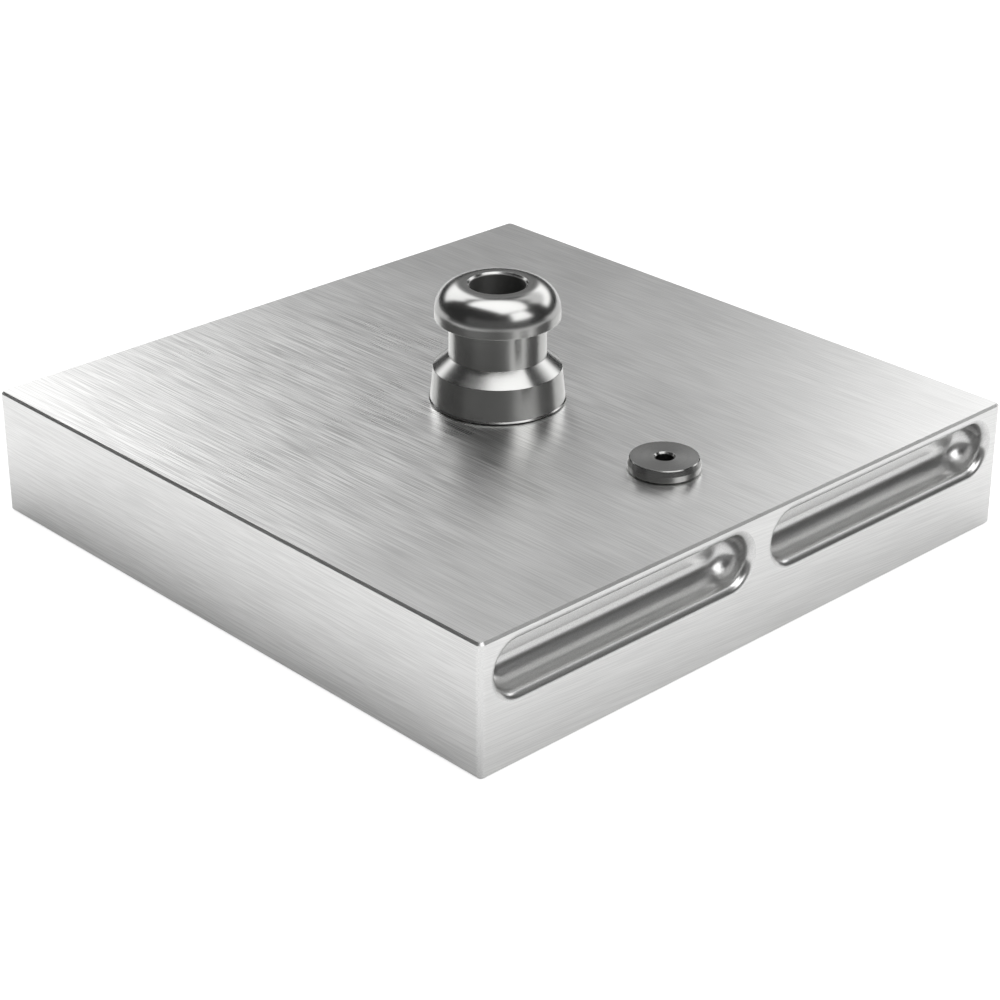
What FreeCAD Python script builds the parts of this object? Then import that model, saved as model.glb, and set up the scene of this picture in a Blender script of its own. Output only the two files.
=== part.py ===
import FreeCAD, Part
import math
import os

from FreeCAD import Vector

# CNC clamping pallet, machine side up. Millimetres, +Z up.
# The origin is the middle of the plate's lower face. The +X side carries grip pockets, as the -X side does.

# Plate: 8 in square and 1.5 in thick
PLATE_SIDE = 203.2
PLATE_THICKNESS = 38.1
PLATE_CORNER_RADIUS = 1.75
PLATE_EDGE_BREAK = 0.67

# Grip pockets: slots with a rounded lip, and rounded all round the foot of their walls
POCKET_LENGTH = 91.0
POCKET_HEIGHT = 14.26
POCKET_DEPTH = 8.9
POCKET_FLOOR_RADIUS = 5.6
POCKET_LIP_RADIUS = 2.5
POCKET_PITCH = 100.5
POCKET_CEILING_DROP = 3.75

# Clamping knob: heights are above the plate's upper face
KNOB_HEIGHT = 35.0
KNOB_FOOT_DIAMETER = 39.3
KNOB_FOOT_UNDERCUT = 0.75
KNOB_FOOT_LIFT = 0.42
KNOB_SHOULDER_DIAMETER = 37.0
KNOB_SHOULDER_HEIGHT = 10.06
KNOB_NECK_DIAMETER = 28.0
KNOB_NECK_START = 13.9
KNOB_HEAD_DIAMETER = 36.0
KNOB_HEAD_START = 24.95
KNOB_HEAD_LOWER_BREAK = 0.3
KNOB_DOME_RADIUS = 7.8
KNOB_BORE_DIAMETER = 16.0
KNOB_BORE_CHAMFER = 0.7
KNOB_WEB_THICKNESS = 6.0
KNOB_SPIGOT_DIAMETER = 24.0
KNOB_SPIGOT_DEPTH = 5.0
KNOB_SPIGOT_CHAMFER = 0.5

# Socket head cap screw, 3/8-16 x 1 in
SCREW_DIAMETER = 9.525
SCREW_LENGTH = 25.4
SCREW_HEAD_DIAMETER = 14.29
SCREW_HEAD_HEIGHT = 9.525
SCREW_HEAD_CHAMFER = 0.6
SCREW_SOCKET_ACROSS_FLATS = 7.94
SCREW_SOCKET_DEPTH = 4.8
SCREW_TIP_CHAMFER = 0.9

# Threaded steel insert with four locking keys
INSERT_DIAMETER = 14.29
INSERT_LENGTH = 14.3
INSERT_RECESS = 0.5
INSERT_CHAMFER = 0.6
KEY_COUNT = 4
KEY_WIDTH = 1.4
KEY_THICKNESS = 1.3
KEY_LENGTH = 5.0
KEY_STAND_OUT = 0.75

# Timing button, pressed in
BUTTON_DIAMETER = 20.06
BUTTON_HEIGHT = 3.9
BUTTON_BAND_HEIGHT = 2.2
BUTTON_TOP_DIAMETER = 18.9
BUTTON_TOP_BREAK = 0.12
BUTTON_FOOT_UNDERCUT = 0.85
BUTTON_FOOT_LIFT = 0.55
BUTTON_OFFSET = 65.5
BUTTON_SHANK_DIAMETER = 12.0
BUTTON_SHANK_LENGTH = 14.0
BUTTON_SHANK_CHAMFER = 0.6
BUTTON_THREAD_DIAMETER = 5.04
BUTTON_THREAD_CHAMFER = 0.48

# Clearances
THREAD_CLEARANCE = 0.05
SPIGOT_CLEARANCE = 0.02
PRESS_CLEARANCE = 0.01
SCREW_HOLE_CLEARANCE = 0.4
DRILL_RUN_OUT = 4.0
DOWEL_RUN_OUT = 2.0
DRILL_POINT_ANGLE = 118.0
CUTTER_OVERRUN = 2.0

FACE_X = PLATE_SIDE / 2
SCREW_SEAT_Z = PLATE_THICKNESS + KNOB_WEB_THICKNESS
SPIGOT_FLOOR_Z = PLATE_THICKNESS - KNOB_SPIGOT_DEPTH
INSERT_TOP_Z = SPIGOT_FLOOR_Z - INSERT_RECESS
INSERT_BOTTOM_Z = INSERT_TOP_Z - INSERT_LENGTH


def turned(points, centre_x=0.0):
    """Solid of revolution about the vertical line at centre_x.

    points are (radius, height) pairs, or triples of pairs for an arc through its middle point.
    """
    edges = []
    last = None
    for entry in points:
        if isinstance(entry[0], tuple):
            middle, end = (Vector(centre_x + r, 0, z) for r, z in entry)
            edges.append(Part.Arc(last, middle, end).toShape())
        else:
            end = Vector(centre_x + entry[0], 0, entry[1])
            if last is not None:
                edges.append(Part.makeLine(last, end))
        last = end
    first = edges[0].firstVertex().Point
    edges.append(Part.makeLine(last, first))
    face = Part.Face(Part.Wire(edges))
    return face.revolve(Vector(centre_x, 0, 0), Vector(0, 0, 1), 360)


def arc_middle(centre, radius, angle):
    """Point at an angle in degrees on a circle, in (radius, height) coordinates."""
    return (
        centre[0] + radius * math.cos(math.radians(angle)),
        centre[1] + radius * math.sin(math.radians(angle)),
    )


def pocket_profile(centre_z):
    """Closed half section of a pocket above its middle line, in the XZ plane."""
    half_height = POCKET_HEIGHT / 2
    diagonal = math.sqrt(0.5)
    lip_centre_x = FACE_X - POCKET_LIP_RADIUS
    lip_centre_z = half_height + POCKET_LIP_RADIUS
    floor_x = FACE_X - POCKET_DEPTH
    corner_x = floor_x + POCKET_FLOOR_RADIUS
    corner_z = half_height - POCKET_FLOOR_RADIUS
    outside_x = FACE_X + CUTTER_OVERRUN

    def point(x, z):
        return Vector(x, 0, centre_z + z)

    lip_middle = point(
        lip_centre_x + diagonal * POCKET_LIP_RADIUS,
        lip_centre_z - diagonal * POCKET_LIP_RADIUS,
    )
    corner_middle = point(
        corner_x - diagonal * POCKET_FLOOR_RADIUS,
        corner_z + diagonal * POCKET_FLOOR_RADIUS,
    )
    return [
        Part.makeLine(point(outside_x, 0), point(outside_x, lip_centre_z)),
        Part.makeLine(point(outside_x, lip_centre_z), point(FACE_X, lip_centre_z)),
        Part.Arc(point(FACE_X, lip_centre_z), lip_middle, point(lip_centre_x, half_height)).toShape(),
        Part.makeLine(point(lip_centre_x, half_height), point(corner_x, half_height)),
        Part.Arc(point(corner_x, half_height), corner_middle, point(floor_x, corner_z)).toShape(),
        Part.makeLine(point(floor_x, corner_z), point(floor_x, 0)),
        Part.makeLine(point(floor_x, 0), point(outside_x, 0)),
    ]


def pocket_cutter():
    """Space of one grip pocket on the +X side, centred on y = 0."""
    centre_z = PLATE_THICKNESS - POCKET_CEILING_DROP - POCKET_HEIGHT / 2
    half_run = (POCKET_LENGTH - POCKET_HEIGHT) / 2
    section = Part.Face(Part.Wire(pocket_profile(centre_z)))
    axis_point = Vector(0, 0, centre_z)
    end = section.revolve(axis_point, Vector(1, 0, 0), 180)
    pieces = []
    for angle, shift in ((0, -half_run), (180, half_run)):
        half_end = end.copy()
        half_end.rotate(axis_point, Vector(1, 0, 0), angle)
        half_end.translate(Vector(0, shift, 0))
        pieces.append(half_end)
    upper = section.extrude(Vector(0, 2 * half_run, 0))
    upper.translate(Vector(0, -half_run, 0))
    lower = upper.mirror(axis_point, Vector(0, 0, 1))
    return pieces[0].multiFuse([pieces[1], upper, lower]).removeSplitter()


def grip_pockets():
    """The four grip pockets, two on the +X side and their mirror images on the -X side."""
    cutter = pocket_cutter()
    pockets = []
    for side in (-1, 1):
        pocket = cutter.copy()
        pocket.translate(Vector(0, side * POCKET_PITCH / 2, 0))
        pockets.append(pocket)
        pockets.append(pocket.mirror(Vector(0, 0, 0), Vector(1, 0, 0)))
    return pockets


def plate_blank():
    """Square plate with rounded upright corners and broken edges above and below."""
    half = PLATE_SIDE / 2
    blank = Part.makeBox(PLATE_SIDE, PLATE_SIDE, PLATE_THICKNESS, Vector(-half, -half, 0))
    uprights = [edge for edge in blank.Edges if abs(edge.tangentAt(edge.FirstParameter).z) > 0.5]
    rounded = blank.makeFillet(PLATE_CORNER_RADIUS, uprights)
    rims = [edge for edge in rounded.Edges if edge.BoundBox.ZLength < PLATE_EDGE_BREAK / 2]
    return rounded.makeChamfer(PLATE_EDGE_BREAK, rims)


def drilled_hole(radius, bottom_z, top_z):
    """Hole with a drill point below bottom_z."""
    point_depth = radius / math.tan(math.radians(DRILL_POINT_ANGLE / 2))
    return turned([(0, bottom_z - point_depth), (radius, bottom_z), (radius, top_z), (0, top_z)])


def key_slot(inner_radius, outer_radius, bottom_z, top_z, width):
    """Upright bar on the +X side of the middle axis, between two radii."""
    return Part.makeBox(
        outer_radius - inner_radius,
        width,
        top_z - bottom_z,
        Vector(inner_radius, -width / 2, bottom_z),
    )


def around_axis(shape, count):
    """Copies of a shape, evenly spaced about the middle axis."""
    copies = []
    for index in range(count):
        copy = shape.copy()
        copy.rotate(Vector(0, 0, 0), Vector(0, 0, 1), 360.0 * index / count)
        copies.append(copy)
    return copies


def key_bars(clearance):
    """The locking keys, each grown by a clearance on its sides and outer face."""
    outer_radius = INSERT_DIAMETER / 2 + KEY_STAND_OUT
    bar = key_slot(
        outer_radius - KEY_THICKNESS,
        outer_radius + clearance,
        INSERT_TOP_Z - KEY_LENGTH,
        INSERT_TOP_Z,
        KEY_WIDTH + 2 * clearance,
    )
    return around_axis(bar, KEY_COUNT)


def plate_knob_holes():
    """Counterbore for the knob's spigot, the insert's hole with its key slots, and the drilled end."""
    spigot_radius = KNOB_SPIGOT_DIAMETER / 2 + SPIGOT_CLEARANCE
    insert_radius = INSERT_DIAMETER / 2 + THREAD_CLEARANCE
    counterbore = turned([
        (0, SPIGOT_FLOOR_Z),
        (spigot_radius, SPIGOT_FLOOR_Z),
        (spigot_radius, PLATE_THICKNESS + CUTTER_OVERRUN),
        (0, PLATE_THICKNESS + CUTTER_OVERRUN),
    ])
    hole = drilled_hole(insert_radius, INSERT_BOTTOM_Z - DRILL_RUN_OUT, SPIGOT_FLOOR_Z)
    outer_radius = INSERT_DIAMETER / 2 + KEY_STAND_OUT + THREAD_CLEARANCE
    slot = key_slot(
        0,
        outer_radius,
        INSERT_TOP_Z - KEY_LENGTH,
        SPIGOT_FLOOR_Z,
        KEY_WIDTH + 2 * THREAD_CLEARANCE,
    )
    return [counterbore, hole] + around_axis(slot, KEY_COUNT)


def plate_button_hole():
    """Reamed blind hole for the timing button's shank."""
    radius = BUTTON_SHANK_DIAMETER / 2 + PRESS_CLEARANCE
    bottom_z = PLATE_THICKNESS - BUTTON_SHANK_LENGTH - DOWEL_RUN_OUT
    return turned(
        [
            (0, bottom_z),
            (radius, bottom_z),
            (radius, PLATE_THICKNESS + CUTTER_OVERRUN),
            (0, PLATE_THICKNESS + CUTTER_OVERRUN),
        ],
        BUTTON_OFFSET,
    )


def pallet_plate():
    """Aluminium plate with grip pockets and the seats of the hardware."""
    cutters = grip_pockets() + plate_knob_holes() + [plate_button_hole()]
    return plate_blank().cut(cutters)


def clamping_knob():
    """Turned knob: spigot, tapered foot, cone, neck and domed head, bored for its screw."""
    bore = KNOB_BORE_DIAMETER / 2
    screw_hole = SCREW_DIAMETER / 2 + SCREW_HOLE_CLEARANCE
    spigot = KNOB_SPIGOT_DIAMETER / 2
    foot = KNOB_FOOT_DIAMETER / 2
    neck = KNOB_NECK_DIAMETER / 2
    head = KNOB_HEAD_DIAMETER / 2
    base = PLATE_THICKNESS
    spigot_end = SPIGOT_FLOOR_Z + THREAD_CLEARANCE
    head_start = base + KNOB_HEAD_START
    top = base + KNOB_HEIGHT
    dome_centre = (head - KNOB_DOME_RADIUS, top - KNOB_DOME_RADIUS)
    return turned([
        (screw_hole, spigot_end),
        (spigot - KNOB_SPIGOT_CHAMFER, spigot_end),
        (spigot, spigot_end + KNOB_SPIGOT_CHAMFER),
        (spigot, base),
        (foot - KNOB_FOOT_UNDERCUT, base),
        (foot, base + KNOB_FOOT_LIFT),
        (KNOB_SHOULDER_DIAMETER / 2, base + KNOB_SHOULDER_HEIGHT),
        (neck, base + KNOB_NECK_START),
        (neck, head_start),
        (head - KNOB_HEAD_LOWER_BREAK, head_start),
        (head, head_start + KNOB_HEAD_LOWER_BREAK),
        (head, dome_centre[1]),
        (arc_middle(dome_centre, KNOB_DOME_RADIUS, 45), (dome_centre[0], top)),
        (bore + KNOB_BORE_CHAMFER, top),
        (bore, top - KNOB_BORE_CHAMFER),
        (bore, SCREW_SEAT_Z),
        (screw_hole, SCREW_SEAT_Z),
    ])


def knob_screw():
    """Socket head cap screw, seated on the knob's inner web."""
    head = SCREW_HEAD_DIAMETER / 2
    shank = SCREW_DIAMETER / 2
    tip_z = SCREW_SEAT_Z - SCREW_LENGTH
    head_top = SCREW_SEAT_Z + SCREW_HEAD_HEIGHT
    body = turned([
        (0, tip_z),
        (shank - SCREW_TIP_CHAMFER, tip_z),
        (shank, tip_z + SCREW_TIP_CHAMFER),
        (shank, SCREW_SEAT_Z),
        (head, SCREW_SEAT_Z),
        (head, head_top - SCREW_HEAD_CHAMFER),
        (head - SCREW_HEAD_CHAMFER, head_top),
        (0, head_top),
    ])
    corner_radius = SCREW_SOCKET_ACROSS_FLATS / 2 / math.cos(math.radians(30))
    floor_z = head_top - SCREW_SOCKET_DEPTH
    corners = [
        Vector(
            corner_radius * math.cos(math.radians(60 * index)),
            corner_radius * math.sin(math.radians(60 * index)),
            floor_z,
        )
        for index in range(7)
    ]
    socket = Part.Face(Part.makePolygon(corners))
    return body.cut(socket.extrude(Vector(0, 0, SCREW_SOCKET_DEPTH + CUTTER_OVERRUN)))


def thread_insert():
    """Threaded insert with grooves for its locking keys."""
    outer = INSERT_DIAMETER / 2
    bore = SCREW_DIAMETER / 2 + THREAD_CLEARANCE
    body = turned([
        (bore + INSERT_CHAMFER, INSERT_BOTTOM_Z),
        (outer - INSERT_CHAMFER, INSERT_BOTTOM_Z),
        (outer, INSERT_BOTTOM_Z + INSERT_CHAMFER),
        (outer, INSERT_TOP_Z),
        (bore + INSERT_CHAMFER, INSERT_TOP_Z),
        (bore, INSERT_TOP_Z - INSERT_CHAMFER),
        (bore, INSERT_BOTTOM_Z + INSERT_CHAMFER),
    ])
    return body.cut(key_bars(THREAD_CLEARANCE))


def insert_locking_keys():
    """Four keys driven down between the insert and the plate."""
    return Part.makeCompound(key_bars(0))


def timing_button():
    """Round button with a slightly tapered rim, pressed in by its shank and tapped through."""
    thread = BUTTON_THREAD_DIAMETER / 2
    shank = BUTTON_SHANK_DIAMETER / 2
    rim = BUTTON_DIAMETER / 2
    upper_rim = BUTTON_TOP_DIAMETER / 2
    base = PLATE_THICKNESS
    shank_end = base - BUTTON_SHANK_LENGTH
    top = base + BUTTON_HEIGHT
    return turned(
        [
            (thread, shank_end),
            (shank - BUTTON_SHANK_CHAMFER, shank_end),
            (shank, shank_end + BUTTON_SHANK_CHAMFER),
            (shank, base),
            (rim - BUTTON_FOOT_UNDERCUT, base),
            (rim, base + BUTTON_FOOT_LIFT),
            (rim, base + BUTTON_BAND_HEIGHT),
            (upper_rim + BUTTON_TOP_BREAK, top - BUTTON_TOP_BREAK),
            (upper_rim, top),
            (thread + BUTTON_THREAD_CHAMFER, top),
            (thread, top - BUTTON_THREAD_CHAMFER),
        ],
        BUTTON_OFFSET,
    )


def main():
    os.makedirs("parts", exist_ok=True)
    for build in (
        pallet_plate,
        clamping_knob,
        knob_screw,
        thread_insert,
        insert_locking_keys,
        timing_button,
    ):
        build().exportStep(f"parts/{build.__name__}.step")


main()
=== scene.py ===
import math

import bpy
from bpy.props import FloatProperty, FloatVectorProperty, IntProperty, PointerProperty
from mathutils import Matrix, Vector


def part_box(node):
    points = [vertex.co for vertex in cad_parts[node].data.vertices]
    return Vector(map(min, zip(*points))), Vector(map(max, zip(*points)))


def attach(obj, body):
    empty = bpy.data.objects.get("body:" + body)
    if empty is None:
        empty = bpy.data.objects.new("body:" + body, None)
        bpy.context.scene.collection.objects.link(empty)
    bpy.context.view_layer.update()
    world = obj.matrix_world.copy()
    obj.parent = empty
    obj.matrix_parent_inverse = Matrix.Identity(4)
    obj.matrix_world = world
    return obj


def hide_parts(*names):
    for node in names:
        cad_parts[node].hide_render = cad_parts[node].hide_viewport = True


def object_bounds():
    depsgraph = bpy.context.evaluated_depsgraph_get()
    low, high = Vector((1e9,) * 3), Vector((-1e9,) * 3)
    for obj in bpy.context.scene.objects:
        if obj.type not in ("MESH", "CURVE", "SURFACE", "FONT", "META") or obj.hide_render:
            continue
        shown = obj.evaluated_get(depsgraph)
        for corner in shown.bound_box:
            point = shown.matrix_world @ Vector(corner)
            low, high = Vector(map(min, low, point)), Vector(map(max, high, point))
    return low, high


bl_info = {
    "name": "Clamping pallet",
    "version": (1, 0, 0),
    "blender": (4, 5, 0),
    "location": "View3D > Sidebar > Pallet",
    "description": "Builds the finishes and fine shapes of a machining pallet, and its studio",
    "category": "Object",
}

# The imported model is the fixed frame: every size below that it holds is read from it
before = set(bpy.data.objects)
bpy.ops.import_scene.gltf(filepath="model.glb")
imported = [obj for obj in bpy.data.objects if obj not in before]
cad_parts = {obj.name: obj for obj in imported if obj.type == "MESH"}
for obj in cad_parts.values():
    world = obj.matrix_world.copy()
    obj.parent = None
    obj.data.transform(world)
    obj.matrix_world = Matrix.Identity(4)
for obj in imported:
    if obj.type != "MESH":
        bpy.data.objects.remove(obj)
cad_low, cad_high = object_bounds()
_, plate_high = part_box("pallet_plate")
knob_low, knob_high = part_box("clamping_knob")
_, screw_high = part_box("knob_screw")
button_low, button_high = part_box("timing_button")

MM = 0.001
BODY = "root"
PLATE_TOP = plate_high.z
PLATE_HALF = plate_high.x
BUTTON_CENTRE = Vector(((button_low.x + button_high.x) / 2, (button_low.y + button_high.y) / 2, 0))
SCREW_HEAD_HEIGHT = 9.525 * MM
# Rounding of the edges that no view shows, and the flats' greatest distance from a true round
HIDDEN_ROUNDING = 0.05 * MM
CHORD_ERROR = 0.002 * MM
# The floor lies this far under the plate
FLOOR_GAP = 0.05 * MM
# Depths of the lines that polishing and turning leave on steel
POLISHED_LINE_DEPTH = 0.0006 * MM
TURNED_LINE_DEPTH = 0.001 * MM
# A face looks along an axis where its normal's share along that axis is above this
FACING = 0.8
# Soft boxes: azimuth from +Y towards +X, half width, low and high edge in degrees, and share of the level
SOFT_BOXES = {
    "left": (-78.7, 22, 19, 53, 0.88),
    "behind": (-7.4, 30, 18.9, 33, 0.97),
    "high_behind": (-7.4, 26, 33, 54, 0.5),
    "right": (84, 20, 23, 55, 1.0),
    "left_fill": (-48, 14, 18, 38, 0.12),
    "front_fill": (133, 60, 2, 28, 0.05),
}


class PlateSettings(bpy.types.PropertyGroup):
    """Finish of the aluminium plate."""

    colour: FloatVectorProperty(
        name="Aluminium",
        description="Colour of the aluminium",
        subtype="COLOR",
        size=4,
        min=0,
        max=1,
        default=(0.99, 0.99, 0.981, 1),
    )
    roughness: FloatProperty(
        name="Roughness",
        description="Roughness of the brushed faces",
        default=0.298,
        min=0,
        max=1,
    )
    grain: FloatProperty(
        name="Grain",
        description="How much rougher the metal is across the brushed lines than along them",
        default=0.272,
        min=0,
        max=1,
    )
    brush_angle: FloatProperty(
        name="Brush angle",
        description="Turn of the brushed lines on the broad faces, from X towards Y",
        subtype="ANGLE",
        default=math.radians(0.5),
    )
    sheen_angle: FloatProperty(
        name="Sheen angle",
        description="Turn of the streak-like reflections on the broad faces, from X towards Y",
        subtype="ANGLE",
        default=math.radians(-9),
    )
    line_depth: FloatProperty(
        name="Line depth",
        description="Depth of the brushed lines",
        default=0.006 * MM,
        min=0,
        precision=6,
        unit="LENGTH",
    )
    pocket_roughness: FloatProperty(
        name="Pocket roughness",
        description="Roughness of the milled grip pockets",
        default=0.28,
        min=0,
        max=1,
    )


class KnobSettings(bpy.types.PropertyGroup):
    """Profile and finish of the clamping knob."""

    colour: FloatVectorProperty(
        name="Steel",
        description="Colour of the polished steel",
        subtype="COLOR",
        size=4,
        min=0,
        max=1,
        default=(0.43, 0.43, 0.423, 1),
    )
    roughness: FloatProperty(
        name="Roughness",
        description="Roughness of the polished steel",
        default=0.2,
        min=0,
        max=1,
    )
    grain: FloatProperty(
        name="Grain",
        description="How much rougher the steel is across the turned lines than along them",
        default=0.4,
        min=0,
        max=1,
    )
    edge_rounding: FloatProperty(
        name="Edge rounding",
        description="Radius of the broken edges",
        default=0.2 * MM,
        min=0.02 * MM,
        precision=5,
        unit="LENGTH",
    )
    segments: IntProperty(
        name="Segments",
        description="Faces round a turned piece",
        default=192,
        min=24,
    )


class ButtonSettings(bpy.types.PropertyGroup):
    """Profile and finish of the timing button."""

    colour: FloatVectorProperty(
        name="Steel",
        description="Colour of the ground steel",
        subtype="COLOR",
        size=4,
        min=0,
        max=1,
        default=(0.38, 0.38, 0.374, 1),
    )
    roughness: FloatProperty(
        name="Roughness",
        description="Roughness of the ground steel",
        default=0.2,
        min=0,
        max=1,
    )


class StudioSettings(bpy.types.PropertyGroup):
    """Floor and lights."""

    floor_colour: FloatVectorProperty(
        name="Floor",
        description="Colour of the floor",
        subtype="COLOR",
        size=4,
        min=0,
        max=1,
        default=(0.94, 0.94, 0.94, 1),
    )
    floor_size: FloatProperty(
        name="Floor size",
        description="Side of the square floor",
        default=12,
        min=1,
        unit="LENGTH",
    )
    room_level: FloatProperty(
        name="Room",
        description="Brightness of the unlit room",
        default=0.048,
        min=0,
    )
    box_level: FloatProperty(
        name="Soft boxes",
        description="Brightness of the standing soft boxes",
        default=2.28,
        min=0,
    )
    overhead_level: FloatProperty(
        name="Overhead box",
        description="Brightness of the soft box overhead",
        default=2.3,
        min=0,
    )


class Nodes:
    """Adds nodes and links to one node tree."""

    def __init__(self, tree):
        self.tree = tree
        tree.nodes.clear()

    def add(self, kind, inputs=None, **settings):
        """A node with its settings, and its inputs set or linked by name or number."""
        node = self.tree.nodes.new(kind)
        for name, value in settings.items():
            setattr(node, name, value)
        for name, value in (inputs or {}).items():
            self.feed(node.inputs[name], value)
        return node

    def feed(self, socket, value):
        """Links a socket to another's output, or sets its value."""
        if isinstance(value, bpy.types.NodeSocket):
            self.tree.links.new(value, socket)
        else:
            socket.default_value = value

    def math(self, operation, first, second=0.0, third=0.0):
        """Output of a Math node."""
        return self.add("ShaderNodeMath", {0: first, 1: second, 2: third}, operation=operation).outputs[0]

    def vector(self, operation, first, second):
        """Vector output of a Vector Math node."""
        node = self.add("ShaderNodeVectorMath", {0: first, 1: second}, operation=operation)
        return node.outputs["Vector"]

    def split(self, vector):
        """X, Y and Z outputs of a vector."""
        return self.add("ShaderNodeSeparateXYZ", {0: vector}).outputs

    def join(self, x, y, z=0.0):
        """Vector of three values."""
        return self.add("ShaderNodeCombineXYZ", {0: x, 1: y, 2: z}).outputs[0]

    def ramp(self, value, low, high, to_low=0.0, to_high=1.0, smooth=True):
        """Value that goes from to_low to to_high as another goes from low to high."""
        return self.add(
            "ShaderNodeMapRange",
            {"Value": value, "From Min": low, "From Max": high, "To Min": to_low, "To Max": to_high},
            interpolation_type="SMOOTHSTEP" if smooth else "LINEAR",
        ).outputs[0]

    def noise(self, vector, scale=1.0, detail=2.0, roughness=0.5):
        """Value of a Noise texture, about 0.5."""
        inputs = {"Vector": vector, "Scale": scale, "Detail": detail, "Roughness": roughness}
        return self.add("ShaderNodeTexNoise", inputs).outputs["Fac"]

    def length(self, vector):
        """Length of a vector."""
        return self.add("ShaderNodeVectorMath", {0: vector}, operation="LENGTH").outputs["Value"]

    # A Mix node has sockets of the same name for each kind of data, so they are given by number
    def mix(self, factor, first, second):
        """Mix of two values."""
        return self.add("ShaderNodeMix", {0: factor, 2: first, 3: second}).outputs[0]

    def mix_vector(self, factor, first, second):
        """Mix of two vectors."""
        node = self.add("ShaderNodeMix", data_type="VECTOR")
        self.feed(node.inputs[0], factor)
        self.feed(node.inputs[4], first)
        self.feed(node.inputs[5], second)
        return node.outputs[1]

    def mix_colour(self, factor, first, second):
        """Mix of two colours."""
        node = self.add("ShaderNodeMix", data_type="RGBA")
        self.feed(node.inputs[0], factor)
        self.feed(node.inputs[6], first)
        self.feed(node.inputs[7], second)
        return node.outputs[2]


def shader_group(name, inputs, outputs):
    """New node group with sockets from (name, kind, default) rows: its writer, inner inputs and outputs."""
    tree = bpy.data.node_groups.new(name, "ShaderNodeTree")
    for socket_name, kind, default in inputs:
        socket = tree.interface.new_socket(socket_name, in_out="INPUT", socket_type=kind)
        if default is not None:
            socket.default_value = default
    for socket_name, kind in outputs:
        tree.interface.new_socket(socket_name, in_out="OUTPUT", socket_type=kind)
    nodes = Nodes(tree)
    return nodes, nodes.add("NodeGroupInput").outputs, nodes.add("NodeGroupOutput").inputs


def brushed_lines_group():
    """Parallel lines along the vector's X: fine ones, some wide ones that lean a little, and faint bands."""
    nodes, given, result = shader_group(
        "brushed_lines",
        [
            ("Vector", "NodeSocketVector", None),
            ("Line Length", "NodeSocketFloat", 20 * MM),
            ("Line Width", "NodeSocketFloat", 0.22 * MM),
        ],
        [("Height", "NodeSocketFloat"), ("Tone", "NodeSocketFloat")],
    )
    x, y, z = nodes.split(given["Vector"])
    along = nodes.math("DIVIDE", x, given["Line Length"])
    across = nodes.math("DIVIDE", y, given["Line Width"])
    depth = nodes.math("DIVIDE", z, given["Line Width"])
    fine = nodes.noise(nodes.join(along, across, depth), detail=1.0)
    # The wide lines are about three times as wide as the fine ones and twice as long
    lean = 0.03
    leaning = nodes.math("MULTIPLY_ADD", x, lean, y)
    wide_place = nodes.join(
        nodes.math("MULTIPLY", along, 0.45),
        nodes.math("DIVIDE", leaning, nodes.math("MULTIPLY", given["Line Width"], 3.2)),
        nodes.math("MULTIPLY", depth, 0.31),
    )
    wide = nodes.noise(wide_place, detail=2.0, roughness=0.6)
    # The bands are 20 times as wide as the fine lines and five times as long
    band_place = nodes.join(
        nodes.math("MULTIPLY", along, 0.2),
        nodes.math("MULTIPLY", across, 0.05),
        nodes.math("MULTIPLY", depth, 0.05),
    )
    band = nodes.noise(band_place, detail=1.0)
    wide_share = 0.08
    band_share = 0.04
    height = nodes.math(
        "ADD",
        nodes.math("MULTIPLY", fine, 1 - wide_share),
        nodes.math("MULTIPLY", wide, wide_share),
    )
    tone = nodes.math(
        "ADD",
        nodes.math("MULTIPLY", height, 1 - band_share),
        nodes.math("MULTIPLY", band, band_share),
    )
    nodes.feed(result["Height"], height)
    nodes.feed(result["Tone"], nodes.ramp(tone, 0.43, 0.57, smooth=False))
    return nodes.tree


def turned_lines_group():
    """Fine rings about the vector's Z axis, on any turned face."""
    nodes, given, result = shader_group(
        "turned_lines",
        [
            ("Vector", "NodeSocketVector", None),
            ("Line Width", "NodeSocketFloat", 0.2 * MM),
        ],
        [("Height", "NodeSocketFloat"), ("Tone", "NodeSocketFloat")],
    )
    x, y, z = nodes.split(given["Vector"])
    radius = nodes.length(nodes.join(x, y))
    place = nodes.join(
        nodes.math("DIVIDE", radius, given["Line Width"]),
        nodes.math("DIVIDE", z, given["Line Width"]),
        nodes.math("MULTIPLY", nodes.math("ARCTAN2", y, x), 0.5),
    )
    fine = nodes.noise(place, detail=1.0)
    coarse = nodes.noise(place, scale=0.23, detail=2.0)
    height = nodes.math("ADD", nodes.math("MULTIPLY", fine, 0.5), nodes.math("MULTIPLY", coarse, 0.5))
    nodes.feed(result["Height"], height)
    nodes.feed(result["Tone"], nodes.ramp(height, 0.3, 0.7, smooth=False))
    return nodes.tree


def handling_group():
    """Soft cloudy marks that handling and wiping leave on bare metal."""
    nodes, given, result = shader_group(
        "handling_marks",
        [
            ("Vector", "NodeSocketVector", None),
            ("Size", "NodeSocketFloat", 30 * MM),
        ],
        [("Mask", "NodeSocketFloat")],
    )
    place = nodes.add("ShaderNodeVectorMath", {0: given["Vector"]}, operation="SCALE")
    nodes.feed(place.inputs["Scale"], nodes.math("DIVIDE", 1.0, given["Size"]))
    cloud = nodes.noise(place.outputs["Vector"], detail=4.0, roughness=0.6)
    nodes.feed(result["Mask"], nodes.ramp(cloud, 0.35, 0.65))
    return nodes.tree


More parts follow.
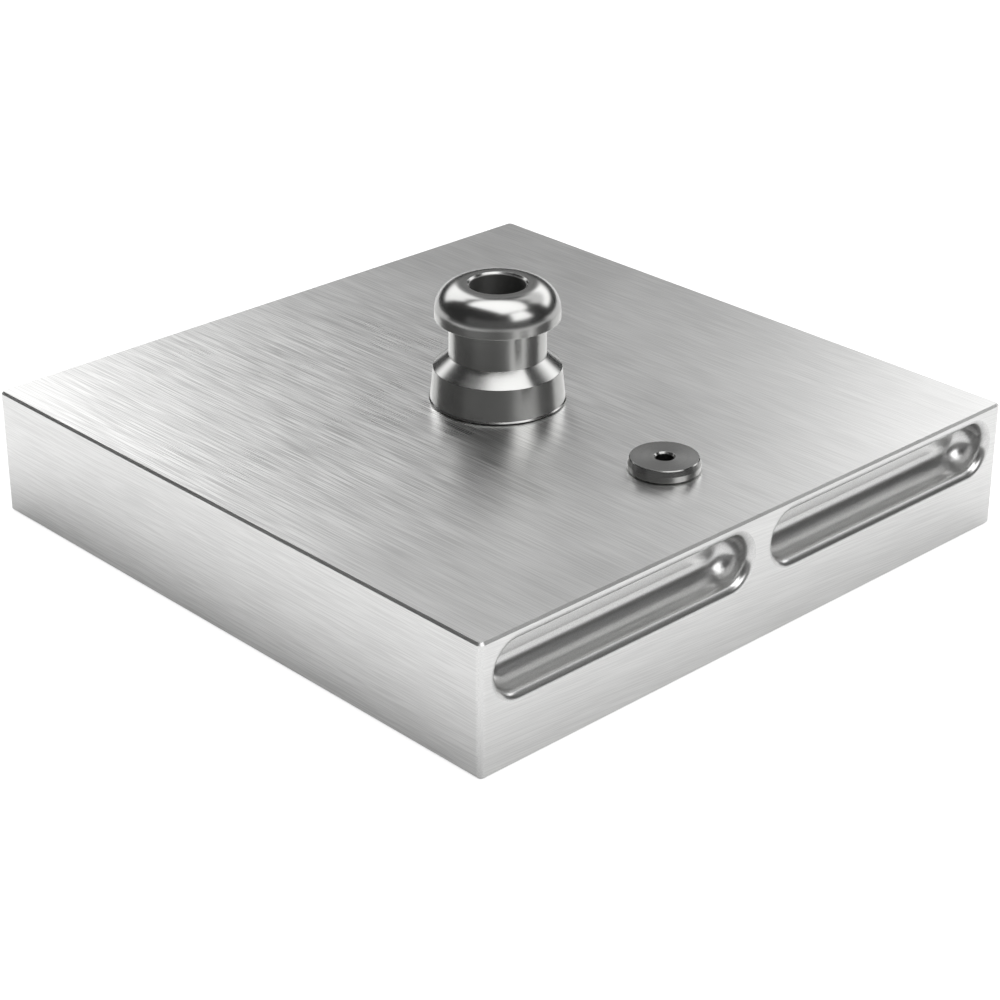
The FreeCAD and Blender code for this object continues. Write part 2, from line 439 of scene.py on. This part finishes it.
def soft_box_group():
    """Mask of a soft box that stands round the object, by azimuth from +Y towards +X and by elevation."""
    nodes, given, result = shader_group(
        "soft_box",
        [
            ("Direction", "NodeSocketVector", None),
            ("Azimuth", "NodeSocketFloat", 0.0),
            ("Half Width", "NodeSocketFloat", 0.4),
            ("Low", "NodeSocketFloat", 0.4),
            ("High", "NodeSocketFloat", 0.8),
            ("Softness", "NodeSocketFloat", 0.1),
        ],
        [("Mask", "NodeSocketFloat")],
    )
    x, y, z = nodes.split(given["Direction"])
    azimuth = nodes.math("ARCTAN2", x, y)
    turn = nodes.math("WRAP", nodes.math("SUBTRACT", azimuth, given["Azimuth"]), math.pi, -math.pi)
    elevation = nodes.math("ARCSINE", z)
    half_soft = nodes.math("MULTIPLY", given["Softness"], 0.5)

    def edge(distance):
        return nodes.ramp(distance, nodes.math("MULTIPLY", half_soft, -1.0), half_soft)

    sides = edge(nodes.math("SUBTRACT", given["Half Width"], nodes.math("ABSOLUTE", turn)))
    bottom = edge(nodes.math("SUBTRACT", elevation, given["Low"]))
    top = edge(nodes.math("SUBTRACT", given["High"], elevation))
    nodes.feed(result["Mask"], nodes.math("MULTIPLY", sides, nodes.math("MULTIPLY", bottom, top)))
    return nodes.tree


def group_node(nodes, tree, **inputs):
    """A node that places a group, with its inputs given by name, with _ for a space."""
    node = nodes.add("ShaderNodeGroup")
    node.node_tree = tree
    for name, value in inputs.items():
        nodes.feed(node.inputs[name.replace("_", " ").title()], value)
    return node.outputs


def shared_group(name):
    """A shared shader group, built the first time it is asked for."""
    builders = {
        "brushed_lines": brushed_lines_group,
        "turned_lines": turned_lines_group,
        "handling_marks": handling_group,
        "soft_box": soft_box_group,
    }
    return bpy.data.node_groups.get(name) or builders[name]()


def new_material(name):
    """New material, its Nodes writer, its metal shader and the object's own coordinates."""
    material = bpy.data.materials.new(name)
    material.use_nodes = True
    nodes = Nodes(material.node_tree)
    shader = nodes.add("ShaderNodeBsdfPrincipled", {"Metallic": 1.0})
    nodes.add("ShaderNodeOutputMaterial", {"Surface": shader.outputs[0]})
    place = nodes.add("ShaderNodeTexCoord").outputs["Object"]
    return material, nodes, shader, place


def bump(nodes, shader, height, distance):
    """Raises a shader's surface by a height from 0 to 1, times a distance."""
    node = nodes.add("ShaderNodeBump", {"Strength": 1.0, "Distance": distance, "Height": height})
    nodes.feed(shader.inputs["Normal"], node.outputs["Normal"])


def darker(colour, share):
    """A colour taken down by a share, with its alpha kept."""
    return (*(channel * (1 - share) for channel in colour[:3]), 1)


def brushed_aluminium(settings):
    """Brushed faces with lines along X, or along Y on the X faces, and milled pockets painted darker as shade
    in the recess.
    """
    material, nodes, shader, place = new_material("brushed_aluminium")
    x, y, z = nodes.split(place)
    normal = nodes.add("ShaderNodeNewGeometry").outputs["Normal"]
    normal_x, normal_y, normal_z = nodes.split(normal)
    on_x_face = nodes.math("GREATER_THAN", nodes.math("ABSOLUTE", normal_x), FACING)
    turned = nodes.add(
        "ShaderNodeVectorRotate",
        {"Vector": place, "Angle": -settings.brush_angle},
        rotation_type="Z_AXIS",
    ).outputs[0]
    lean = 0.07
    side_place = nodes.join(
        nodes.math("MULTIPLY_ADD", z, -lean, y),
        nodes.math("MULTIPLY_ADD", y, lean, z),
        x,
    )
    brush_place = nodes.mix_vector(on_x_face, turned, side_place)
    lines = group_node(nodes, shared_group("brushed_lines"), vector=brush_place)

    in_pocket = pocket_mask(nodes, x, y, z)
    across_place = nodes.join(nodes.math("ADD", x, z), y, nodes.math("SUBTRACT", x, z))
    milling = group_node(
        nodes,
        shared_group("brushed_lines"),
        vector=across_place,
        line_length=30 * MM,
        line_width=0.35 * MM,
    )
    marks = group_node(nodes, shared_group("handling_marks"), vector=place, size=45 * MM)

    # Painted light: the lines' contrast, in colour and in bump, is stronger where the light catches them
    lit_strength = lit_line_strength(nodes, x, y, normal_y, normal_z)
    milled_contrast = 0.25
    # Painted shade: the pockets' tone sits low, so the recesses come out darker, with the milling lines on it
    pocket_shade_tone = 0.2
    brushed = nodes.math("MULTIPLY_ADD", nodes.math("SUBTRACT", lines["Tone"], 0.5), lit_strength, 0.5)
    milling_and_shade = nodes.math(
        "MULTIPLY_ADD",
        nodes.math("SUBTRACT", milling["Tone"], 0.5),
        milled_contrast,
        pocket_shade_tone,
    )
    tone = nodes.mix(in_pocket, brushed, milling_and_shade)
    colour = nodes.mix_colour(tone, darker(settings.colour, 0.35), settings.colour[:])
    nodes.feed(shader.inputs["Base Color"], colour)
    wear = 0.03
    line_roughness = 0.06
    worn = nodes.math("MULTIPLY_ADD", marks["Mask"], wear, settings.roughness - wear)
    brushed_roughness = nodes.math("MULTIPLY_ADD", brushed, line_roughness, worn)
    nodes.feed(shader.inputs["Roughness"], nodes.mix(in_pocket, brushed_roughness, settings.pocket_roughness))
    shader.inputs["Anisotropic"].default_value = settings.grain
    run = (math.cos(settings.sheen_angle), math.sin(settings.sheen_angle), 0)
    line = nodes.mix_vector(on_x_face, run, (0, 1, 0))
    across = nodes.vector("CROSS_PRODUCT", normal, line)
    nodes.feed(shader.inputs["Tangent"], nodes.mix_vector(in_pocket, across, (0, 1, 0)))
    scored = nodes.math("MULTIPLY", lines["Height"], lit_strength)
    bump(nodes, shader, nodes.mix(in_pocket, scored, 0.5), settings.line_depth)
    return material


def lit_line_strength(nodes, x, y, normal_y, normal_z):
    """Painted light: how strongly the lines show, most on the upper face on the -X and -Y side of its middle,
    where the light catches them.
    """
    away = nodes.join(nodes.math("ADD", x, 0.35 * PLATE_HALF), nodes.math("ADD", y, 0.45 * PLATE_HALF))
    on_top = nodes.ramp(nodes.length(away), 0.35 * PLATE_HALF, 1.15 * PLATE_HALF, 1.0, 0.34)
    on_y_face = nodes.math("GREATER_THAN", nodes.math("ABSOLUTE", normal_y), FACING)
    on_side = nodes.mix(on_y_face, 0.25, 0.35)
    level = nodes.math("GREATER_THAN", normal_z, FACING)
    return nodes.mix(level, on_side, on_top)


def pocket_mask(nodes, x, y, z):
    """1 in the grip pockets and 0 on the plate's outer faces."""
    skin = 0.05 * MM
    reach = 15 * MM
    floor_height = 15 * MM
    broken_edge = 1 * MM
    corner = 1.5 * MM
    below_top = nodes.math("LESS_THAN", z, PLATE_TOP - broken_edge)
    above_bottom = nodes.math("GREATER_THAN", z, floor_height)
    inside_x = nodes.math("LESS_THAN", nodes.math("ABSOLUTE", x), PLATE_HALF - skin)
    near_side = nodes.math("GREATER_THAN", nodes.math("ABSOLUTE", x), PLATE_HALF - reach)
    inside_y = nodes.math("LESS_THAN", nodes.math("ABSOLUTE", y), PLATE_HALF - corner)
    mask = below_top
    for other in (above_bottom, inside_x, near_side, inside_y):
        mask = nodes.math("MULTIPLY", mask, other)
    return mask


def turned_steel(name, colour, roughness, grain, line_depth, centre=(0, 0, 0), bore=0.0):
    """Steel with fine rings about an upright axis through a centre, painted darker in a bore as shade, and
    duller there.
    """
    material, nodes, shader, place = new_material(name)
    local = nodes.vector("SUBTRACT", place, centre)
    lines = group_node(nodes, shared_group("turned_lines"), vector=local)
    marks = group_node(nodes, shared_group("handling_marks"), vector=local, size=12 * MM)
    x, y, _ = nodes.split(local)
    shaded_bore = nodes.math("LESS_THAN", nodes.length(nodes.join(x, y)), bore)
    turned = nodes.mix_colour(lines["Tone"], darker(colour, 0.05), colour[:])
    # Painted shade: the bore's colour is darker, as the shade in a recess
    nodes.feed(shader.inputs["Base Color"], nodes.mix_colour(shaded_bore, turned, darker(colour, 0.45)))
    wear = 0.03
    line_roughness = 0.03
    bore_roughness = 0.35
    worn = nodes.math("MULTIPLY_ADD", marks["Mask"], wear, roughness - 0.02)
    outside = nodes.math("MULTIPLY_ADD", lines["Tone"], line_roughness, worn)
    nodes.feed(shader.inputs["Roughness"], nodes.math("MULTIPLY_ADD", shaded_bore, bore_roughness, outside))
    shader.inputs["Anisotropic"].default_value = grain
    ring = nodes.join(nodes.math("MULTIPLY", y, -1.0), x)
    normal = nodes.add("ShaderNodeNewGeometry").outputs["Normal"]
    nodes.feed(shader.inputs["Tangent"], nodes.vector("CROSS_PRODUCT", normal, ring))
    bump(nodes, shader, lines["Height"], line_depth)
    return material


def rounded_profile(corners):
    """Points and outward normals of a closed outline in (radius, height).

    corners are (radius, height, rounding), listed anticlockwise, so that the metal is on the left.
    """
    points = []
    count = len(corners)
    for index in range(count):
        before, here, after = (Vector(corners[(index + step) % count][:2]) for step in (-1, 0, 1))
        rounding = corners[index][2]
        towards_before = (before - here).normalized()
        towards_after = (after - here).normalized()
        corner_angle = towards_before.angle(towards_after)
        inward = (towards_before + towards_after).normalized()
        centre = here + inward * rounding / math.sin(corner_angle / 2)
        turn = math.pi - corner_angle
        convex = towards_before.y * towards_after.x > towards_before.x * towards_after.y
        start = here + towards_before * rounding / math.tan(corner_angle / 2) - centre
        # A flat stays within the chord error of the round, and no step turns by more than about 90 degrees
        step_angle = 2 * math.acos(max(0.7, 1 - CHORD_ERROR / rounding))
        steps = max(2, math.ceil(turn / step_angle))
        sign = 1 if convex else -1
        for step in range(steps + 1):
            spoke = Matrix.Rotation(sign * turn * step / steps, 2) @ start
            points.append((centre + spoke, spoke.normalized() * sign))
    return points


def turned_piece(name, corners, segments, centre=(0, 0)):
    """Mesh object turned from a rounded closed outline about an upright axis, with true normals."""
    profile = rounded_profile(corners)
    vertices = []
    normals = []
    for step in range(segments):
        angle = 2 * math.pi * step / segments
        cosine, sine = math.cos(angle), math.sin(angle)
        for point, normal in profile:
            vertices.append((centre[0] + point.x * cosine, centre[1] + point.x * sine, point.y))
            normals.append((normal.x * cosine, normal.x * sine, normal.y))
    rows = len(profile)
    faces = []
    for step in range(segments):
        near = step * rows
        far = (step + 1) % segments * rows
        for row in range(rows):
            above = (row + 1) % rows
            faces.append((near + row, far + row, far + above, near + above))
    mesh = bpy.data.meshes.new(name)
    mesh.from_pydata(vertices, [], faces)
    mesh.shade_smooth()
    mesh.normals_split_custom_set_from_vertices(normals)
    piece = bpy.data.objects.new(name, mesh)
    bpy.context.scene.collection.objects.link(piece)
    return piece


def dress(piece, material):
    """Gives a piece its material, in its only slot."""
    piece.data.materials.clear()
    piece.data.materials.append(material)


def knob_corners(settings):
    """Outline of the knob, from the screw hole's lower end, anticlockwise."""
    fine = settings.edge_rounding
    hidden = HIDDEN_ROUNDING
    base = PLATE_TOP
    low = knob_low.z
    top = knob_high.z
    seat = screw_high.z - SCREW_HEAD_HEIGHT
    screw_hole = 5.1625 * MM
    bore = 8.0 * MM
    bore_break = 0.7 * MM
    spigot = 12.0 * MM
    spigot_break = 0.5 * MM
    foot = 18.9 * MM
    lip = 19.76 * MM
    lip_low = base + 0.36 * MM
    lip_high = base + 0.44 * MM
    lip_rounding = 0.03 * MM
    skirt = 19.42 * MM
    skirt_low = base + 0.82 * MM
    shoulder = 18.5 * MM
    shoulder_height = base + 10.06 * MM
    neck = 14.0 * MM
    neck_low = base + 13.9 * MM
    neck_high = base + 24.95 * MM
    head = 18.0 * MM
    dome = 7.8 * MM
    return [
        (screw_hole, low, hidden),
        (spigot - spigot_break, low, hidden),
        (spigot, low + spigot_break, hidden),
        (spigot, base - hidden, hidden / 2),
        (foot, base, hidden),
        (lip, lip_low, lip_rounding),
        (lip, lip_high, lip_rounding),
        (skirt, skirt_low, 0.08 * MM),
        (shoulder, shoulder_height, fine),
        (neck, neck_low, fine),
        (neck, neck_high, 0.5 * MM),
        (head, neck_high, 0.3 * MM),
        (head, top, dome),
        (bore + bore_break, top, fine / 2),
        (bore, top - bore_break, fine / 2),
        (bore, seat, hidden),
        (screw_hole, seat, hidden),
    ]


def button_corners():
    """Outline of the button, from its hole's lower end, anticlockwise."""
    hidden = HIDDEN_ROUNDING
    base = PLATE_TOP
    low = button_low.z
    top = button_high.z
    hole = 2.52 * MM
    hole_break = 0.48 * MM
    shank = 6.0 * MM
    shank_break = 0.6 * MM
    foot = 9.18 * MM
    band = 10.03 * MM
    band_low = base + 0.55 * MM
    band_high = base + 2.2 * MM
    band_rounding = 0.15 * MM
    rim = 9.6 * MM
    rim_break = 0.24 * MM
    rim_rounding = 0.06 * MM
    return [
        (hole, low, hidden),
        (shank - shank_break, low, hidden),
        (shank, low + shank_break, hidden),
        (shank, base, hidden),
        (foot, base, hidden),
        (band, band_low, band_rounding),
        (band, band_high, band_rounding),
        (rim, top - rim_break, rim_rounding),
        (rim - rim_break, top, rim_rounding),
        (hole + hole_break, top, hidden),
        (hole, top - hole_break, hidden),
    ]


class PALLET_OT_plate(bpy.types.Operator):
    """Finish the aluminium plate"""

    bl_idname = "pallet.plate"
    bl_label = "Plate"

    def execute(self, context):
        material = brushed_aluminium(context.scene.pallet_plate)
        dress(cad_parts["pallet_plate"], material)
        return {"FINISHED"}


class PALLET_OT_knob(bpy.types.Operator):
    """Turn the clamping knob, with its broken edges"""

    bl_idname = "pallet.knob"
    bl_label = "Clamping knob"

    def execute(self, context):
        settings = context.scene.pallet_knob
        knob = turned_piece("knob", knob_corners(settings), settings.segments)
        steel = turned_steel(
            "polished_steel",
            settings.colour,
            settings.roughness,
            settings.grain,
            POLISHED_LINE_DEPTH,
            bore=8.2 * MM,
        )
        dress(knob, steel)
        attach(knob, BODY)
        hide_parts("clamping_knob")
        return {"FINISHED"}


class PALLET_OT_fastening(bpy.types.Operator):
    """Finish the screw, the thread insert and its locking keys"""

    bl_idname = "pallet.fastening"
    bl_label = "Screw and insert"

    def execute(self, context):
        black = turned_steel("black_oxide_steel", (0.05, 0.05, 0.052, 1), 0.35, 0.3, TURNED_LINE_DEPTH)
        dress(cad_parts["knob_screw"], black)
        insert = turned_steel("insert_steel", (0.5, 0.49, 0.47, 1), 0.3, 0.3, TURNED_LINE_DEPTH)
        for node in ("thread_insert", "insert_locking_keys"):
            dress(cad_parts[node], insert)
        return {"FINISHED"}


class PALLET_OT_button(bpy.types.Operator):
    """Turn the timing button, with its broken edges"""

    bl_idname = "pallet.button"
    bl_label = "Timing button"

    def execute(self, context):
        settings = context.scene.pallet_button
        segments = context.scene.pallet_knob.segments
        button = turned_piece("button", button_corners(), segments, BUTTON_CENTRE[:2])
        steel = turned_steel(
            "ground_steel",
            settings.colour,
            settings.roughness,
            0.5,
            POLISHED_LINE_DEPTH,
            BUTTON_CENTRE[:],
        )
        dress(button, steel)
        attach(button, BODY)
        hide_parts("timing_button")
        return {"FINISHED"}


def distance_from_plate(nodes, x, y):
    """Distance over the floor from the plate's sides."""
    gap_x = nodes.math("MAXIMUM", nodes.math("SUBTRACT", nodes.math("ABSOLUTE", x), PLATE_HALF), 0.0)
    gap_y = nodes.math("MAXIMUM", nodes.math("SUBTRACT", nodes.math("ABSOLUTE", y), PLATE_HALF), 0.0)
    return nodes.length(nodes.join(gap_x, gap_y))


def floor_painted_shade(nodes):
    """Painted shade of the floor as the metal sees it: a painted shadow close to the plate, and painted dark
    far in front of it.
    """
    x, y, _ = nodes.split(nodes.add("ShaderNodeNewGeometry").outputs["Position"])
    distance = distance_from_plate(nodes, x, y)
    in_front = nodes.math("LESS_THAN", y, -PLATE_HALF)
    # Painted shadow beside the plate, deeper on the front side
    closest = nodes.mix(in_front, 0.78, 0.65)
    near = nodes.ramp(distance, 0.0, 48 * MM, closest, 1.0)
    # Painted dark far from the plate, except behind it
    far = nodes.ramp(distance, 200 * MM, 420 * MM, 1.0, 0.12)
    behind = nodes.ramp(nodes.math("SUBTRACT", y, x), 0.0, 2 * PLATE_HALF)
    return nodes.math("MULTIPLY", near, nodes.math("MAXIMUM", far, behind))


def floor_material(settings):
    """Pale floor: white with a shadow for the camera, with painted shade and a faint painted glow for the
    metal, and clear from below.
    """
    material = bpy.data.materials.new("floor")
    material.use_nodes = True
    nodes = Nodes(material.node_tree)
    share = floor_painted_shade(nodes)
    # The floor's colour carries the painted shadow and the painted dark far off
    colour = nodes.mix_colour(share, (0, 0, 0, 1), settings.floor_colour[:])
    plain = nodes.add("ShaderNodeBsdfDiffuse", {"Color": colour}).outputs[0]
    # A faint emission on the floor, for all but camera rays, is a painted glow
    painted_glow = nodes.add("ShaderNodeEmission", {"Strength": nodes.math("MULTIPLY", share, 0.1)}).outputs[0]
    mirrored = nodes.add("ShaderNodeAddShader", {0: plain, 1: painted_glow}).outputs[0]
    # The glow and the lit grey add up to white, and to less where the object shades the floor
    glow = nodes.add("ShaderNodeEmission", {"Color": (1, 1, 1, 1), "Strength": 0.82}).outputs[0]
    soft = nodes.add("ShaderNodeBsdfDiffuse", {"Color": (0.45, 0.45, 0.45, 1)}).outputs[0]
    seen = nodes.add("ShaderNodeAddShader", {0: glow, 1: soft}).outputs[0]
    by_camera = nodes.add("ShaderNodeLightPath").outputs["Is Camera Ray"]
    shown = nodes.add("ShaderNodeMixShader", {0: by_camera, 1: mirrored, 2: seen}).outputs[0]
    under = nodes.add("ShaderNodeNewGeometry").outputs["Backfacing"]
    clear = nodes.add("ShaderNodeBsdfTransparent").outputs[0]
    surface = nodes.add("ShaderNodeMixShader", {0: under, 1: shown, 2: clear}).outputs[0]
    nodes.add("ShaderNodeOutputMaterial", {"Surface": surface})
    return material


def studio_world(settings):
    """World of soft boxes in a dark room, white where the camera looks at it."""
    world = bpy.data.worlds.new("studio")
    world.use_nodes = True
    nodes = Nodes(world.node_tree)
    direction = nodes.add("ShaderNodeTexCoord").outputs["Generated"]
    light = settings.room_level
    for azimuth, half_width, low, high, share in SOFT_BOXES.values():
        mask = group_node(
            nodes,
            shared_group("soft_box"),
            direction=direction,
            azimuth=math.radians(azimuth),
            half_width=math.radians(half_width),
            low=math.radians(low),
            high=math.radians(high),
            softness=math.radians(9),
        )["Mask"]
        light = nodes.math("MULTIPLY_ADD", mask, settings.box_level * share, light)
    light = nodes.math("MULTIPLY_ADD", overhead_mask(nodes, direction), settings.overhead_level, light)
    lit = nodes.add("ShaderNodeBackground", {"Color": (1, 1, 1, 1), "Strength": light}).outputs[0]
    white = nodes.add("ShaderNodeBackground", {"Color": (1, 1, 1, 1), "Strength": 1.0}).outputs[0]
    seen = nodes.add("ShaderNodeLightPath").outputs["Is Camera Ray"]
    shown = nodes.add("ShaderNodeMixShader", {0: seen, 1: lit, 2: white}).outputs[0]
    nodes.add("ShaderNodeOutputWorld", {"Surface": shown})
    bpy.context.scene.world = world


def overhead_mask(nodes, direction):
    """Mask of the flat soft box overhead, in the plane one unit above the object."""
    middle_x = 0.03
    middle_y = 0.08
    x, y, z = nodes.split(direction)
    height = nodes.math("MAXIMUM", z, 0.01)
    across = nodes.math("ABSOLUTE", nodes.math("SUBTRACT", nodes.math("DIVIDE", x, height), middle_x))
    along = nodes.math("ABSOLUTE", nodes.math("SUBTRACT", nodes.math("DIVIDE", y, height), middle_y))
    wide = nodes.ramp(across, 0.66, 0.5)
    long = nodes.ramp(along, 0.47, 0.39)
    return nodes.math("MULTIPLY", wide, long)


class PALLET_OT_stage(bpy.types.Operator):
    """Set the floor, the studio light and the camera"""

    bl_idname = "pallet.stage"
    bl_label = "Stage"

    def execute(self, context):
        settings = context.scene.pallet_studio
        half = settings.floor_size / 2
        mesh = bpy.data.meshes.new("floor")
        corners = [(-half, -half, 0), (half, -half, 0), (half, half, 0), (-half, half, 0)]
        mesh.from_pydata(corners, [], [(0, 1, 2, 3)])
        floor = bpy.data.objects.new("floor", mesh)
        # Off centre, so that the seam between the floor's two triangles stays clear of the object
        floor.location = (half / 4, 0, cad_low.z - FLOOR_GAP)
        floor.data.materials.append(floor_material(settings))
        context.scene.collection.objects.link(floor)
        studio_world(settings)
        context.scene.view_settings.view_transform = "Standard"
        place_camera(context.scene)
        return {"FINISHED"}


def place_camera(scene):
    """Camera at the photograph's angle: azimuth from -Y towards +X, elevation and roll in degrees."""
    azimuth, elevation, roll = (math.radians(angle) for angle in (46.5908, 26.4730, 0.0508))
    distance = 762.63 * MM
    target = Vector((-6.9, 7.481, 0)) * MM
    back = Vector((
        math.sin(azimuth) * math.cos(elevation),
        -math.cos(azimuth) * math.cos(elevation),
        math.sin(elevation),
    ))
    across = Vector((math.cos(azimuth), math.sin(azimuth), 0))
    turn = Matrix.Rotation(roll, 3, back)
    across = turn @ across
    camera = bpy.data.objects.new("camera", bpy.data.cameras.new("camera"))
    camera.data.sensor_width = 36
    camera.data.lens = 92.5186
    camera.data.clip_end = 100
    camera.matrix_world = Matrix.Translation(target + back * distance) @ Matrix(
        (across, back.cross(across), back)
    ).transposed().to_4x4()
    scene.collection.objects.link(camera)
    scene.camera = camera


class PALLET_PT_panel(bpy.types.Panel):
    """Sizes, finishes and steps of the pallet"""

    bl_idname = "PALLET_PT_panel"
    bl_label = "Clamping pallet"
    bl_space_type = "VIEW_3D"
    bl_region_type = "UI"
    bl_category = "Pallet"

    def draw(self, context):
        for operator in OPERATORS:
            self.layout.operator(operator.bl_idname)
        for holder in SETTINGS:
            settings = getattr(context.scene, holder)
            for name in settings.__annotations__:
                self.layout.prop(settings, name)


OPERATORS = (
    PALLET_OT_plate,
    PALLET_OT_knob,
    PALLET_OT_fastening,
    PALLET_OT_button,
    PALLET_OT_stage,
)
SETTINGS = {
    "pallet_plate": PlateSettings,
    "pallet_knob": KnobSettings,
    "pallet_button": ButtonSettings,
    "pallet_studio": StudioSettings,
}


def register():
    """Registers the classes and puts the settings on the scene."""
    for cls in (*SETTINGS.values(), *OPERATORS, PALLET_PT_panel):
        bpy.utils.register_class(cls)
    for holder, cls in SETTINGS.items():
        setattr(bpy.types.Scene, holder, PointerProperty(type=cls))


def unregister():
    """Takes the settings off the scene and unregisters the classes."""
    for holder in SETTINGS:
        delattr(bpy.types.Scene, holder)
    for cls in (PALLET_PT_panel, *OPERATORS, *SETTINGS.values()):
        bpy.utils.unregister_class(cls)


def main():
    """Builds every piece and the stage."""
    register()
    bpy.ops.pallet.plate()
    bpy.ops.pallet.knob()
    bpy.ops.pallet.fastening()
    bpy.ops.pallet.button()
    bpy.ops.pallet.stage()


if __name__ == "__main__":
    main()
